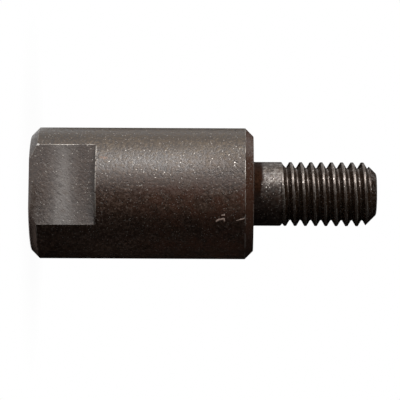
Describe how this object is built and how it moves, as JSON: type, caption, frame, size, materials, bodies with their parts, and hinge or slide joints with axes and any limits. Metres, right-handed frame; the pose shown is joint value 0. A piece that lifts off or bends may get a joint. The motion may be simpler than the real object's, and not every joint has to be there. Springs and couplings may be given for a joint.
{
  "type": "thread adapter",
  "caption": "Round turned steel thread adapter with a male threaded stud at one end and wrench flats around a tapped blind hole at the other, black oxide finish",
  "frame": {"origin": "centre of the end face between the wrench flats, on the turning axis; the part stands on this face", "axes": "+Z along the turning axis towards the threaded stud; the wrench flats face -Y and +Y"},
  "size_m": [0.016, 0.016, 0.042],
  "materials": {
    "black_oxide_steel": "black oxide, oiled satin, turned, with fine bright wear and a little rust"
  },
  "bodies": {
    "root": {"thread_adapter": "black_oxide_steel"}
  },
  "joints": []
}
